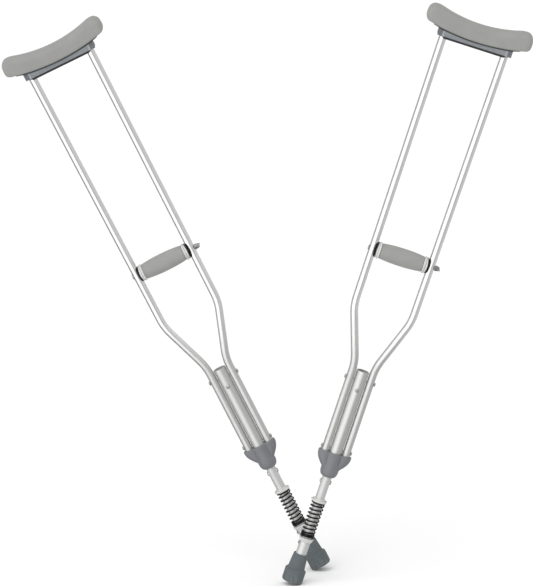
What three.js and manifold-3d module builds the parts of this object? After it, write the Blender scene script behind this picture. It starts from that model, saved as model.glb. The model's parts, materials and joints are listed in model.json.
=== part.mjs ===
// A pair of adjustable underarm crutches, standing crossed, each on its own rubber tip.
//
// Units are millimetres and +Z is up.  Each crutch is drawn upright in its own frame, with the
// middle of the tip's tread at the origin, +X across the two uprights and +Y to the rear, and is
// then tilted and put in its place.  The left crutch stands behind the right one.
import * as THREE from 'three';
import Module from 'manifold-3d';
import { mergeVertices } from 'three/addons/utils/BufferGeometryUtils.js';

const wasm = await Module();
wasm.setup();

// ---------------------------------------------------------------- driving dimensions
const runningGap = 0.3;
const pinClearance = 0.1;
const socketGap = 0.6;
const wall = 1.2;

const uprightDiameter = 16.5;
const centreTubeDiameter = 25.4;
const legDiameter = 19;
const footTubeDiameter = 22.2;
const guideTubeDiameter = 16;

// Heights up the crutch.
const cushionTop = 1192.3;
const cushionBottom = 1162.3;
const saddleBottom = 1147.8;
const uprightTop = 1160.8;
const upperBend = 577.5;
const gripHeight = 697.5;
const lowerBend = 466.6;
const centreTubeTop = 452.2;
const upperRivet = 433.5;
const guideRivetHeight = 414.3;
const lowerRivet = 284.4;
const collarTop = 277.4;
const uprightBottom = 267.4;
const centreTubeBottom = 253.4;
const collarBottom = 226.4;
const lockHeight = 215.4;
const guideTubeTop = 422.2;
const guideTubeBottom = 156.4;
const legTop = 381.4;
const springTop = 171.2;
const springBottom = 94.4;
const footTubeTop = 89.9;
const footPinHeight = 81.1;
const legBottom = 31;
const tipTop = 59.3;
const cupHeight = 27.6;
const footTubeBottom = 14;

// Half spacings of the uprights.
const halfSpacingTop = 64;
const halfSpacingWaist = 59.9;
const halfSpacingFoot = 21.4;
const bendRadius = 110;
const uprightSides = 10;

// Adjustment holes and travels.  The leg locks at every one of its holes.
const holePitch = 25.4;
const gripHolesBelow = 2;
const gripHolesAbove = 2;
const legHoles = 7;
const shockTravel = 15;

// Cushion and saddle.
const cushionHalfLength = 107;
const cushionWidth = 44;
const cushionTopRadius = 275;
const cushionUnderRadius = 430;
const hornHalfSpacing = 91;
const saddleHalfLength = 76.5;
const saddleFlangeHalfLength = 90;
const saddleFlangeThickness = 2;
const saddleWidth = 28;

// Handgrip.
const boltDiameter = 6;
const rivetRadius = 2.2;
const guideRivetRadius = 2;
const footPinRadius = 2.1;
const gripWasherThickness = 3;
const gripWasherDiameter = 33;
const gripFlangeThickness = 4.4;
const gripFlangeDiameter = 35;
const foamDiameterMiddle = 37;
const foamDiameterEnd = 31;
const gripCoreDiameter = 24;

// Spring.
const springDiameter = 28.5;
const springWire = 3.2;
const springActiveTurns = 8;
const springDeadTurns = 2.5;
const springTopTurns = 0.5;

// Where the two crutches stand, and how far each leans.
const leftTilt = THREE.MathUtils.degToRad(-26.7);
const rightTilt = THREE.MathUtils.degToRad(18.2);
const leftFoot = 109.4;
const rightFoot = 50.4;
const planeSpacing = 115;
const treadDiameter = 40;

// ---------------------------------------------------------------- materials
const finish = (color, roughness, metalness) =>
  new THREE.MeshStandardMaterial({ color, roughness, metalness });

const materials = {
  foam: finish(0x9b9b99, 0.9, 0),
  saddle: finish(0x8d929b, 0.5, 0),
  collar: finish(0x70747e, 0.5, 0),
  aluminium: finish(0xc9c9cb, 0.3, 1),
  steel: finish(0xb4b4b6, 0.35, 1),
  blackSteel: finish(0x141414, 0.35, 0.6),
  blackPlastic: finish(0x1c1c1d, 0.5, 0),
  greyPlastic: finish(0xa9abae, 0.5, 0),
  palePlastic: finish(0xdadadb, 0.45, 0),
  rubber: finish(0x5b6168, 0.8, 0),
};

// ---------------------------------------------------------------- solids
function signedVolume(geometry) {
  const at = geometry.getAttribute('position');
  const index = geometry.getIndex();
  const a = new THREE.Vector3();
  const b = new THREE.Vector3();
  const c = new THREE.Vector3();
  let sum = 0;
  for (let i = 0; i < index.count; i += 3) {
    a.fromBufferAttribute(at, index.getX(i));
    b.fromBufferAttribute(at, index.getX(i + 1));
    c.fromBufferAttribute(at, index.getX(i + 2));
    sum += a.dot(b.cross(c)) / 6;
  }
  return sum;
}

// Merges shared vertices and turns the faces outwards.
function closed(geometry) {
  geometry.deleteAttribute('normal');
  geometry.deleteAttribute('uv');
  const merged = mergeVertices(geometry, 1e-4);
  const index = merged.getIndex().array;
  const kept = [];
  for (let i = 0; i < index.length; i += 3) {
    const [a, b, c] = [index[i], index[i + 1], index[i + 2]];
    if (a !== b && b !== c && c !== a) kept.push(a, b, c);
  }
  merged.setIndex(kept);
  if (signedVolume(merged) < 0) merged.setIndex(kept.reverse());
  return merged;
}

function toManifold(geometry) {
  return new wasm.Manifold(new wasm.Mesh({
    numProp: 3,
    vertProperties: new Float32Array(geometry.getAttribute('position').array),
    triVerts: new Uint32Array(geometry.getIndex().array),
  }));
}

function toGeometry(solid) {
  const mesh = solid.getMesh();
  const geometry = new THREE.BufferGeometry();
  geometry.setAttribute('position', new THREE.BufferAttribute(mesh.vertProperties, 3));
  geometry.setIndex(new THREE.BufferAttribute(mesh.triVerts, 1));
  return closed(geometry);
}

function cut(geometry, tools) {
  return toGeometry(tools.reduce((solid, tool) => solid.subtract(toManifold(tool)), toManifold(geometry)));
}

function join(geometries) {
  const [first, ...rest] = geometries.map(toManifold);
  return toGeometry(rest.reduce((solid, next) => solid.add(next), first));
}

const common = (a, b) => toGeometry(toManifold(a).intersect(toManifold(b)));

// A solid turned about Z from [radius, height] points.
function turned(profile, sides) {
  const points = profile.map(([radius, height]) => new THREE.Vector2(radius, height));
  return closed(new THREE.LatheGeometry(points, sides).rotateX(Math.PI / 2));
}

// The same solid laid along +X or towards the front, with its profile's zero at the given place.
const alongX = (geometry, x, y, z) => geometry.rotateY(Math.PI / 2).translate(x, y, z);
const alongFront = (geometry, x, y, z) => geometry.rotateX(Math.PI / 2).translate(x, y, z);

// A solid drawn on the +X side, or its mirror image for the -X side.
function onSide(geometry, side) {
  return side > 0 ? geometry : closed(geometry.scale(-1, 1, 1));
}

function rod(radius, low, high, sides) {
  return turned([[0, low], [radius, low], [radius, high], [0, high]], sides);
}

function sleeve(outer, inner, low, high, sides) {
  return turned([[inner, low], [outer, low], [outer, high], [inner, high], [inner, low]], sides);
}

function circle(radius, sides) {
  return Array.from({ length: sides }, (_, i) => {
    const turn = (i / sides) * 2 * Math.PI;
    return new THREE.Vector2(radius * Math.cos(turn), radius * Math.sin(turn));
  });
}

// A path whose sections stand exactly on the given stations.
class StationPath extends THREE.Curve {
  constructor(stations) {
    super();
    this.stations = stations;
  }

  getPoint(t) {
    return this.stations[Math.round(t * (this.stations.length - 1))].clone();
  }

  getPointAt(t) {
    return this.getPoint(t);
  }

  getTangentAt(t) {
    const i = Math.round(t * (this.stations.length - 1));
    const before = this.stations[Math.max(i - 1, 0)];
    const after = this.stations[Math.min(i + 1, this.stations.length - 1)];
    const here = this.stations[i];
    const incoming = here.clone().sub(before).normalize();
    const outgoing = after.clone().sub(here).normalize();
    return incoming.add(outgoing).normalize();
  }

  getSpacedPoints(divisions) {
    return Array.from({ length: divisions + 1 }, (_, i) => this.getPoint(i / divisions));
  }
}

// Corner points with every inner corner rounded to the radius.
function rounded(corners, radius, arcSteps) {
  const stations = [corners[0]];
  for (let i = 1; i < corners.length - 1; i += 1) {
    const into = corners[i].clone().sub(corners[i - 1]).normalize();
    const out = corners[i + 1].clone().sub(corners[i]).normalize();
    const bend = into.angleTo(out);
    const normal = out.clone().sub(into).normalize();
    const centre = corners[i].clone().addScaledVector(normal, radius / Math.cos(bend / 2));
    for (let k = 0; k <= arcSteps; k += 1) {
      const angle = bend * (k / arcSteps - 0.5);
      const along = out.clone().add(into).normalize().multiplyScalar(Math.sin(angle));
      const away = normal.clone().multiplyScalar(-Math.cos(angle));
      stations.push(centre.clone().addScaledVector(along.add(away), radius));
    }
  }
  stations.push(corners[corners.length - 1]);
  return stations;
}

function swept(shape, stations) {
  return closed(new THREE.ExtrudeGeometry(shape, {
    extrudePath: new StationPath(stations),
    steps: stations.length - 1,
    bevelEnabled: false,
  }));
}

// An outline in the XZ plane, given thickness front to back and centred on Y = 0.
function plate(outline, thickness) {
  const shape = new THREE.Shape(outline.map(([x, z]) => new THREE.Vector2(x, z)));
  const geometry = new THREE.ExtrudeGeometry(shape, { depth: thickness, bevelEnabled: false });
  return closed(geometry.rotateX(Math.PI / 2).translate(0, thickness / 2, 0));
}

// Points on a circle that sags to its lowest point at x = 0.
function hangingArc(low, radius, fromX, toX, steps) {
  return Array.from({ length: steps + 1 }, (_, i) => {
    const x = fromX + ((toX - fromX) * i) / steps;
    return [x, low + radius - Math.sqrt(radius * radius - x * x)];
  });
}

// Half the distance between the uprights' axes at a height above the bends.
function halfSpacing(height) {
  const share = (height - upperBend) / (uprightTop - upperBend);
  return halfSpacingWaist + share * (halfSpacingTop - halfSpacingWaist);
}

// ---------------------------------------------------------------- armrest
function cushion() {
  const hornRise = 1.5;
  const underHalf = cushionHalfLength - 3;
  const under = hangingArc(cushionBottom, cushionUnderRadius, -underHalf, underHalf, 10);
  const top = hangingArc(cushionTop, cushionTopRadius, hornHalfSpacing, -hornHalfSpacing, 10);
  const hornTop = top[0][1];
  const rightEnd = [
    [cushionHalfLength, under[10][1] + 5],
    [cushionHalfLength, hornTop - 9],
    [cushionHalfLength - 5, hornTop - 1],
    [cushionHalfLength - 10, hornTop + hornRise],
  ];
  const leftEnd = rightEnd.map(([x, z]) => [-x, z]).reverse();
  return plate([...under, ...rightEnd, ...top, ...leftEnd], cushionWidth);
}

function saddle() {
  const half = saddleHalfLength;
  const flange = saddleFlangeHalfLength;
  const seat = hangingArc(cushionBottom - runningGap, cushionUnderRadius, flange, -flange, 8);
  const flangeEnd = seat[0][1] - saddleFlangeThickness;
  const flangeRoot = flangeEnd - 2.4;
  const earInner = 70;
  const earBottom = saddleBottom + 4;
  const bodyHalf = 67;
  const chamfer = 5;
  const underside = [
    [-flange, flangeEnd],
    [-half, flangeRoot],
    [-half, earBottom],
    [-earInner, earBottom],
    [-bodyHalf, earBottom - 0.5],
    [-bodyHalf + chamfer, saddleBottom],
    [bodyHalf - chamfer, saddleBottom],
    [bodyHalf, earBottom - 0.5],
    [earInner, earBottom],
    [half, earBottom],
    [half, flangeRoot],
    [flange, flangeEnd],
  ];
  const sockets = [-1, 1].map((side) =>
    rod(uprightDiameter / 2 + socketGap, saddleBottom - 5, uprightTop + runningGap, 12)
      .translate(side * halfSpacingTop, 0, 0));
  return cut(plate([...underside, ...seat], saddleWidth), sockets);
}

// ---------------------------------------------------------------- frame
function upright(side) {
  const corners = [
    new THREE.Vector3(side * halfSpacingTop, 0, uprightTop),
    new THREE.Vector3(side * halfSpacingWaist, 0, upperBend),
    new THREE.Vector3(side * halfSpacingFoot, 0, lowerBend),
    new THREE.Vector3(side * halfSpacingFoot, 0, uprightBottom),
  ];
  const section = new THREE.Shape(circle(uprightDiameter / 2, uprightSides));
  section.holes.push(new THREE.Path(circle(uprightDiameter / 2 - wall, uprightSides)));
  const drills = [];
  for (let i = -gripHolesBelow; i <= gripHolesAbove; i += 1) {
    const height = gripHeight + i * holePitch;
    drills.push(drillAcross(boltDiameter / 2 + pinClearance, side * halfSpacing(height), 0, height, 12));
  }
  for (const height of [upperRivet, lowerRivet]) {
    drills.push(drillAcross(rivetRadius + pinClearance, side * halfSpacingFoot, 0, height, 12));
  }
  return cut(swept(section, rounded(corners, bendRadius, 3)), drills);
}

// A six-sided drill along X that leaves the radius clear, centred at the place.
function drillAcross(radius, x, y, z, halfLength) {
  return alongX(rod(radius / Math.cos(Math.PI / 6), -halfLength, halfLength, 6), x, y, z);
}

// A drill through the front walls of the centre tube and the guide tube.
function guideRivetDrill() {
  return alongFront(rod(guideRivetRadius + 0.4, 6, 16, 6), 0, 0, guideRivetHeight);
}

function centreTube() {
  const tube = sleeve(
    centreTubeDiameter / 2,
    centreTubeDiameter / 2 - wall,
    centreTubeBottom,
    centreTubeTop,
    16,
  );
  const rivetHoles = [-1, 1].flatMap((side) => [upperRivet, lowerRivet].map((height) =>
    drillAcross(rivetRadius + pinClearance, side * (centreTubeDiameter / 2), 0, height, 4)));
  return cut(tube, [guideRivetDrill(), ...rivetHoles]);
}

// Holds one upright to the centre tube: a domed head outside and a shank across the upright.
function rivet(side, height) {
  const face = halfSpacingFoot + uprightDiameter / 2 + runningGap;
  const tail = centreTubeDiameter / 2 - wall + 0.1;
  const shape = turned([
    [0, tail],
    [rivetRadius, tail],
    [rivetRadius, face],
    [4.5, face],
    [3.2, face + 1.9],
    [0, face + 2.4],
  ], 8);
  return onSide(alongX(shape, 0, 0, height), side);
}

// Moulded collar: a round nose for the leg, with a shoulder either side for the uprights.
function collar() {
  const nose = turned([
    [0, collarBottom],
    [11, collarBottom],
    [14.8, collarBottom + 2.4],
    [17.4, collarBottom + 8],
    [18, collarTop],
    [0, collarTop],
  ], 16);
  const shoulder = [
    [17.6, collarBottom + 19],
    [20.5, collarBottom + 22.5],
    [26, collarBottom + 29],
    [31, collarBottom + 36],
    [33.6, collarBottom + 43.5],
    [34.2, collarTop],
  ];
  const outline = [...shoulder, ...shoulder.map(([x, z]) => [-x, z]).reverse()];
  const shoulderDepth = 24.4;
  const endRadius = shoulderDepth / 2;
  const endCentre = shoulder[5][0] - endRadius;
  const plan = new THREE.Shape();
  plan.absarc(endCentre, 0, endRadius, -Math.PI / 2, Math.PI / 2);
  plan.absarc(-endCentre, 0, endRadius, Math.PI / 2, 1.5 * Math.PI);
  const column = closed(new THREE.ExtrudeGeometry(plan, {
    depth: collarTop - collarBottom + 4,
    bevelEnabled: false,
    curveSegments: 4,
  }).translate(0, 0, collarBottom - 2));
  const body = join([nose, common(plate(outline, shoulderDepth + 2), column)]);
  const bores = [
    rod(legDiameter / 2 + runningGap, collarBottom - 2, collarTop + 2, 14),
    rod(centreTubeDiameter / 2 + runningGap, centreTubeBottom - runningGap, collarTop + 2, 16),
    ...[-1, 1].map((side) =>
      rod(uprightDiameter / 2 + socketGap, uprightBottom - runningGap, collarTop + 2, 12)
        .translate(side * halfSpacingFoot, 0, 0)),
  ];
  return cut(body, bores);
}

// ---------------------------------------------------------------- handgrip, along X
const boltBore = boltDiameter / 2 + 0.4;
const gripInside = halfSpacing(gripHeight) - uprightDiameter / 2 - runningGap;
const foamHalfLength = gripInside - gripWasherThickness - gripFlangeThickness - 2 * runningGap;

function gripFoam() {
  const bore = gripCoreDiameter / 2 + runningGap;
  const steps = 5;
  const crown = Array.from({ length: steps + 1 }, (_, i) => {
    const share = (2 * i) / steps - 1;
    const radius = foamDiameterEnd / 2 + ((foamDiameterMiddle - foamDiameterEnd) / 2) * (1 - share ** 2);
    return [radius, share * foamHalfLength];
  });
  const profile = [[bore, -foamHalfLength], ...crown, [bore, foamHalfLength], [bore, -foamHalfLength]];
  return alongX(turned(profile, 16), 0, 0, gripHeight);
}

function gripCore() {
  const core = sleeve(gripCoreDiameter / 2, boltBore, -foamHalfLength, foamHalfLength, 12);
  return alongX(core, 0, 0, gripHeight);
}

function gripFlange(side) {
  const near = foamHalfLength + runningGap;
  const rim = gripFlangeDiameter / 2;
  const profile = [
    [boltBore, near],
    [rim, near],
    [rim, near + gripFlangeThickness - 2],
    [rim - 2.5, near + gripFlangeThickness],
    [boltBore, near + gripFlangeThickness],
    [boltBore, near],
  ];
  return onSide(alongX(turned(profile, 14), 0, 0, gripHeight), side);
}

function gripWasher(side) {
  const near = foamHalfLength + gripFlangeThickness + 2 * runningGap;
  const far = near + gripWasherThickness - runningGap;
  const ring = sleeve(gripWasherDiameter / 2, boltBore, near, far, 14);
  return onSide(alongX(ring, 0, 0, gripHeight), side);
}

const uprightOuterFace = halfSpacing(gripHeight) + uprightDiameter / 2;
const wingNutFace = uprightOuterFace + runningGap;
const wingNutHeight = 8;

function gripBolt() {
  const head = -uprightOuterFace - runningGap;
  const profile = [
    [0, head - 1.4],
    [4, head - 1.2],
    [5.5, head],
    [boltDiameter / 2, head],
    [boltDiameter / 2, wingNutFace + wingNutHeight + 1.5],
    [0, wingNutFace + wingNutHeight + 1.5],
  ];
  return alongX(turned(profile, 10), 0, 0, gripHeight);
}

function wingNut() {
  const hub = turned([
    [boltBore, 0],
    [5.4, 0],
    [5.4, 2],
    [4.6, wingNutHeight],
    [boltBore, wingNutHeight],
    [boltBore, 0],
  ], 10);
  const wing = new THREE.Shape();
  wing.moveTo(4.2, 0.8);
  wing.lineTo(8, 1.6);
  wing.quadraticCurveTo(13.5, 4, 13.2, 8.5);
  wing.quadraticCurveTo(12.4, 11.5, 9.6, 10);
  wing.quadraticCurveTo(7.5, 6.5, 4.2, 6.4);
  const thickness = 2.2;
  const blade = closed(new THREE.ExtrudeGeometry(wing, {
    depth: thickness,
    bevelEnabled: false,
    curveSegments: 3,
  }).rotateX(Math.PI / 2).translate(0, thickness / 2, 0));
  const other = blade.clone().rotateZ(Math.PI);
  const nut = join([hub, blade, other]).rotateZ(Math.PI / 2);
  return alongX(nut, wingNutFace, 0, gripHeight);
}

// ---------------------------------------------------------------- leg and its lock
const lockButtonRadius = 4.5;
const lockHoleRadius = lockButtonRadius + pinClearance;
const lockButtonInner = 5.4;
const lockButtonTip = legDiameter / 2 + 2.7;
const legBore = guideTubeDiameter / 2 + runningGap;

// Fixed inside the centre tube by its widened top; the leg slides over the rest of it.
function guideTube() {
  const flare = centreTubeDiameter / 2 - wall - runningGap;
  const flareLow = guideTubeTop - 34;
  const flareHigh = guideTubeTop - 26;
  const outer = guideTubeDiameter / 2;
  const tube = turned([
    [outer - wall, guideTubeBottom],
    [outer, guideTubeBottom],
    [outer, flareLow],
    [flare, flareHigh],
    [flare, guideTubeTop],
    [flare - wall, guideTubeTop],
    [flare - wall, flareHigh],
    [outer - wall, flareLow],
    [outer - wall, guideTubeBottom],
  ], 14);
  return cut(tube, [guideRivetDrill(), drillAcross(lockHoleRadius, 0, 0, lockHeight, 14)]);
}

// Holds the guide tube to the front of the centre tube.
function guideRivet() {
  const face = centreTubeDiameter / 2 + runningGap;
  const shape = turned([
    [0, face - 2.6],
    [guideRivetRadius, face - 2.6],
    [guideRivetRadius, face],
    [4, face],
    [2.9, face + 1.6],
    [0, face + 2.1],
  ], 8);
  return alongFront(shape, 0, 0, guideRivetHeight);
}

function legTube() {
  const tube = sleeve(legDiameter / 2, legBore, legBottom, legTop, 14);
  const lockHoles = Array.from({ length: legHoles }, (_, i) =>
    drillAcross(lockHoleRadius, 0, 0, lockHeight + i * holePitch, 14));
  return cut(tube, [...lockHoles, drillAcross(footPinRadius + pinClearance, 0, 0, footPinHeight, 14)]);
}

function lockButton(side) {
  const shape = turned([
    [0, lockButtonInner],
    [lockButtonRadius, lockButtonInner],
    [lockButtonRadius, lockButtonTip - 1.7],
    [3, lockButtonTip - 0.4],
    [0, lockButtonTip],
  ], 10);
  return onSide(alongX(shape, 0, 0, lockHeight), side);
}

// A bent strip inside the guide tube whose two leaves press the lock buttons outwards.
function lockClip() {
  const halfWidth = 2.5;
  const halfThickness = 0.4;
  const leaf = lockButtonInner - runningGap - halfThickness;
  const leafTop = lockHeight + 4;
  const loopHeight = lockHeight - 30;
  const strip = new THREE.Shape();
  strip.moveTo(-halfWidth, -halfThickness);
  strip.lineTo(halfWidth, -halfThickness);
  strip.lineTo(halfWidth, halfThickness);
  strip.lineTo(-halfWidth, halfThickness);
  const stations = [new THREE.Vector3(-leaf, 0, leafTop)];
  for (let i = 0; i <= 8; i += 1) {
    const angle = Math.PI * (i / 8);
    stations.push(new THREE.Vector3(-leaf * Math.cos(angle), 0, loopHeight - leaf * Math.sin(angle)));
  }
  stations.push(new THREE.Vector3(leaf, 0, leafTop));
  return swept(strip, stations);
}

// ---------------------------------------------------------------- shock absorber and foot
function upperSpringSeat() {
  const bore = legDiameter / 2 + runningGap;
  return turned([
    [bore, springTop + runningGap],
    [15, springTop + runningGap],
    [16.2, springTop + 1.6],
    [15.6, springTop + 4.4],
    [14.2, springTop + 2.8],
    [11.4, springTop + 2.8],
    [11, springTop + 8],
    [bore, springTop + 8],
    [bore, springTop + runningGap],
  ], 14);
}

function spring() {
  const radius = (springDiameter - springWire) / 2;
  const stepsPerTurn = 10;
  const low = springBottom + springWire / 2;
  const high = springTop - springWire / 2;
  const deadRise = springDeadTurns * (springWire + runningGap);
  const turns = springDeadTurns + springActiveTurns + springTopTurns;
  const stations = [];
  for (let i = 0; i <= turns * stepsPerTurn; i += 1) {
    const turn = i / stepsPerTurn;
    const dead = Math.min(turn, springDeadTurns) / springDeadTurns;
    const active = Math.min(Math.max(turn - springDeadTurns, 0) / springActiveTurns, 1);
    const height = low + deadRise * dead + (high - low - deadRise) * active;
    const angle = 2 * Math.PI * turn;
    stations.push(new THREE.Vector3(radius * Math.cos(angle), radius * Math.sin(angle), height));
  }
  return swept(new THREE.Shape(circle(springWire / 2, 5)), stations);
}

function lowerSpringSeat() {
  const bore = footTubeDiameter / 2 + runningGap;
  const top = springBottom - runningGap;
  const throat = legDiameter / 2 + runningGap;
  return turned([
    [throat, top - 3.6],
    [bore, top - 3.6],
    [bore, top - 8],
    [13, top - 8],
    [15, top - 3.4],
    [15, top],
    [throat, top],
    [throat, top - 3.6],
  ], 14);
}

function footTube() {
  const outer = footTubeDiameter / 2;
  const tube = sleeve(outer, legDiameter / 2 + runningGap, footTubeBottom, footTubeTop, 14);
  const slotRadius = footPinRadius + 0.7;
  const slot = plateSlot(slotRadius, footPinHeight - shockTravel, footPinHeight);
  return cut(tube, [slot]);
}

// A round-ended slot cutter along X, its ends centred at the two heights.
function plateSlot(radius, low, high) {
  const shape = new THREE.Shape();
  shape.absarc(0, high, radius, 0, Math.PI);
  shape.absarc(0, low, radius, Math.PI, 2 * Math.PI);
  const depth = footTubeDiameter + 6;
  const geometry = new THREE.ExtrudeGeometry(shape, { depth, bevelEnabled: false, curveSegments: 4 });
  return closed(geometry.rotateX(Math.PI / 2).translate(0, depth / 2, 0).rotateZ(Math.PI / 2));
}

// Holds the leg in the foot tube's slot: a head to the left, a flush end to the right.
function footPin() {
  const face = footTubeDiameter / 2 + runningGap;
  const profile = [
    [0, -face - 1.9],
    [2.6, -face - 1.6],
    [3.8, -face],
    [footPinRadius, -face],
    [footPinRadius, face - 0.5],
    [0, face - 0.5],
  ];
  return alongX(turned(profile, 8), 0, 0, footPinHeight);
}

function rubberTip() {
  const bore = footTubeDiameter / 2 + runningGap;
  const tread = treadDiameter / 2;
  return turned([
    [0, 0],
    [tread, 0],
    [tread + 1.3, 1.6],
    [tread + 1.2, cupHeight - 3],
    [tread + 0.4, cupHeight - 0.8],
    [tread - 2.4, cupHeight],
    [tread - 3, cupHeight + 3.6],
    [14.6, tipTop - 6],
    [13.6, tipTop],
    [bore, tipTop],
    [bore, footTubeBottom - runningGap],
    [0, footTubeBottom - runningGap],
  ], 18);
}

// ---------------------------------------------------------------- one crutch
function crutch(prefix) {
  const group = new THREE.Group();
  const add = (name, geometry, material) => {
    const mesh = new THREE.Mesh(geometry, material);
    mesh.name = `${prefix}_${name}`;
    group.add(mesh);
  };

  add('underarm_cushion', cushion(), materials.foam);
  add('underarm_saddle', saddle(), materials.saddle);

  for (const [name, side] of [['outer', -1], ['inner', 1]]) {
    add(`${name}_upright`, upright(side), materials.aluminium);
    add(`${name}_upper_rivet`, rivet(side, upperRivet), materials.steel);
    add(`${name}_lower_rivet`, rivet(side, lowerRivet), materials.steel);
    add(`${name}_grip_flange`, gripFlange(side), materials.palePlastic);
    add(`${name}_grip_washer`, gripWasher(side), materials.blackPlastic);
  }
  add('centre_tube', centreTube(), materials.aluminium);
  add('collar', collar(), materials.collar);

  add('grip_foam', gripFoam(), materials.foam);
  add('grip_core', gripCore(), materials.greyPlastic);
  add('grip_bolt', gripBolt(), materials.steel);
  add('wing_nut', wingNut(), materials.steel);

  add('guide_tube', guideTube(), materials.aluminium);
  add('guide_rivet', guideRivet(), materials.steel);
  add('leg_tube', legTube(), materials.aluminium);
  add('outer_lock_button', lockButton(-1), materials.steel);
  add('inner_lock_button', lockButton(1), materials.steel);
  add('lock_clip', lockClip(), materials.steel);

  add('upper_spring_seat', upperSpringSeat(), materials.palePlastic);
  add('shock_spring', spring(), materials.blackSteel);
  add('lower_spring_seat', lowerSpringSeat(), materials.palePlastic);
  add('foot_tube', footTube(), materials.aluminium);
  add('foot_pin', footPin(), materials.steel);
  add('rubber_tip', rubberTip(), materials.rubber);
  return group;
}

// Leans a crutch in its own vertical plane and stands its tread's edge on the floor.
function stand(group, tilt, x, y) {
  group.rotation.y = tilt;
  group.position.set(x, y, (treadDiameter / 2) * Math.sin(Math.abs(tilt)));
  return group;
}

const pair = new THREE.Group();
pair.add(stand(crutch('left'), leftTilt, leftFoot, planeSpacing / 2));
pair.add(stand(crutch('right'), rightTilt, rightFoot, -planeSpacing / 2));

// The origin is on the floor, under the middle of the pair.
pair.updateMatrixWorld(true);
const extent = new THREE.Box3().setFromObject(pair, true);
pair.position.set(-(extent.min.x + extent.max.x) / 2, -(extent.min.y + extent.max.y) / 2, -extent.min.z);

export default pair;
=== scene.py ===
"""The looks of the crossed underarm crutches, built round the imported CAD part.

Lengths are in metres.  Each crutch's pieces are drawn upright in the crutch's own frame, with the
middle of its tread at the origin, +X across the two uprights, +Y to the rear and +Z up the crutch.
"""

import json
import math

import bmesh
import bpy
import numpy as np
from mathutils import Matrix, Vector


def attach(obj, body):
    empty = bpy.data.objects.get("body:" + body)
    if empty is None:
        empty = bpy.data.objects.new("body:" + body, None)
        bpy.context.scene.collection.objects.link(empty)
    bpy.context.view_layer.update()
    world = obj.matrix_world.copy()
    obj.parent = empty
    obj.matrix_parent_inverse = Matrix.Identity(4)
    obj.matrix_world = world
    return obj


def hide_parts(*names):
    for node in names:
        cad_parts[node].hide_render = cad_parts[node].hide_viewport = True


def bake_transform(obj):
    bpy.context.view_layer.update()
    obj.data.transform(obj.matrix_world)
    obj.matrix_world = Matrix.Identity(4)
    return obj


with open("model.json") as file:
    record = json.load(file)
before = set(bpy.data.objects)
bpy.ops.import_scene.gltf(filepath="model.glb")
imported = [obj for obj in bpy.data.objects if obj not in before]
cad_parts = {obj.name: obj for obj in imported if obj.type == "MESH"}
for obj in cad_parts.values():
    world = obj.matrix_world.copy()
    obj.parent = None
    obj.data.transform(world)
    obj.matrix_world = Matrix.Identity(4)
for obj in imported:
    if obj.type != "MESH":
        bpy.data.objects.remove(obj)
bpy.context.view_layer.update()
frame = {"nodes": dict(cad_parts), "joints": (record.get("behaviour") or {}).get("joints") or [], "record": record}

record = frame["record"]
BODY_OF = {node: body for body, nodes in record["behaviour"]["bodies"].items() for node in nodes}
SLOT_OF = {subpart["node"]: subpart["material_slot"] for subpart in record["subparts"]}

# ---------------------------------------------------------------- sizes the CAD boxes don't give
WALL = 0.0012
GAP = 0.0003
WAIST_HEIGHT = 0.5775
WAIST_HALF_SPACING = 0.0599
LOWER_BEND = 0.4666
BEND_RADIUS = 0.110
HOLE_PITCH = 0.0254
CUSHION_TOP_RADIUS = 0.275
CUSHION_UNDER_RADIUS = 0.430
SADDLE_LUG_REACH = 0.0765
SADDLE_BODY_REACH = 0.067
BOLT_HOLE_RADIUS = 0.0031
RIVET_HOLE_RADIUS = 0.0023
LOCK_HOLE_RADIUS = 0.0046
PIN_SLOT_RADIUS = 0.0028
WASHER_SAG = 0.0023
WASHER_FACING = 0.0013
CUP_HEIGHT = 0.0276

TUBE_SIDES = 56
SMALL_SIDES = 32
TURN = 2 * math.pi
UP = Vector((0, 0, 1))
REAR = Vector((0, 1, 0))
SIDES = (("outer", -1), ("inner", 1))


class Crutch:
    """One crutch of the pack: its own frame, and the sizes of its CAD nodes in that frame."""

    def __init__(self, side):
        joints = {j["name"]: j for j in frame["joints"]}
        mounts = {m["name"]: m for m in record["mounts"]}
        up = -Vector(joints[f"{side}_leg_slide"]["axis"]).normalized()
        across = Vector(joints[f"{side}_handgrip_turn"]["axis"]).normalized()
        foot = Vector(mounts[f"{side}_tread"]["pos_m"])
        turn = Matrix((across, up.cross(across), up)).transposed().to_4x4()
        self.side = side
        self.place = Matrix.Translation(foot) @ turn
        self.grip = self.place.inverted() @ Vector(joints[f"{side}_handgrip_turn"]["pos_m"])
        self.leg_travel = joints[f"{side}_leg_slide"]["range_m"][1]
        self.shock_travel = joints[f"{side}_shock_travel"]["range_m"][1]

    def points(self, node):
        mesh = frame["nodes"][f"{self.side}_{node}"].data
        home = self.place.inverted()
        return np.array([home @ v.co for v in mesh.vertices])

    def span(self, node):
        """Lowest and highest corner of a CAD node."""
        points = self.points(node)
        return Vector(points.min(0)), Vector(points.max(0))

    def slice(self, node, axis, at):
        """Lowest and highest corner of a CAD node's vertices at one place along an axis."""
        points = self.points(node)
        near = points[abs(points[:, axis] - at) < 0.0005]
        return Vector(near.min(0)), Vector(near.max(0))

    def height(self, node):
        """Height of a CAD node's middle."""
        low, high = self.span(node)
        return (low.z + high.z) / 2

    def half_height(self, node):
        low, high = self.span(node)
        return (high.z - low.z) / 2

    def reach(self, node):
        """Nearest and farthest distance of a CAD node from the crutch's middle."""
        low, high = self.span(node)
        return sorted((abs(low.x), abs(high.x)))

    def tube_end(self, node, top):
        """Place across the crutch and radius of a CAD tube's top or bottom end."""
        low, high = self.slice(node, 2, self.span(node)[top].z)
        return (low.x + high.x) / 2, (high.x - low.x) / 2

    def radius(self, node):
        """Outer radius of a CAD node turned about the crutch's own axis."""
        low, high = self.span(node)
        return max(high.x - low.x, high.y - low.y) / 2


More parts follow.
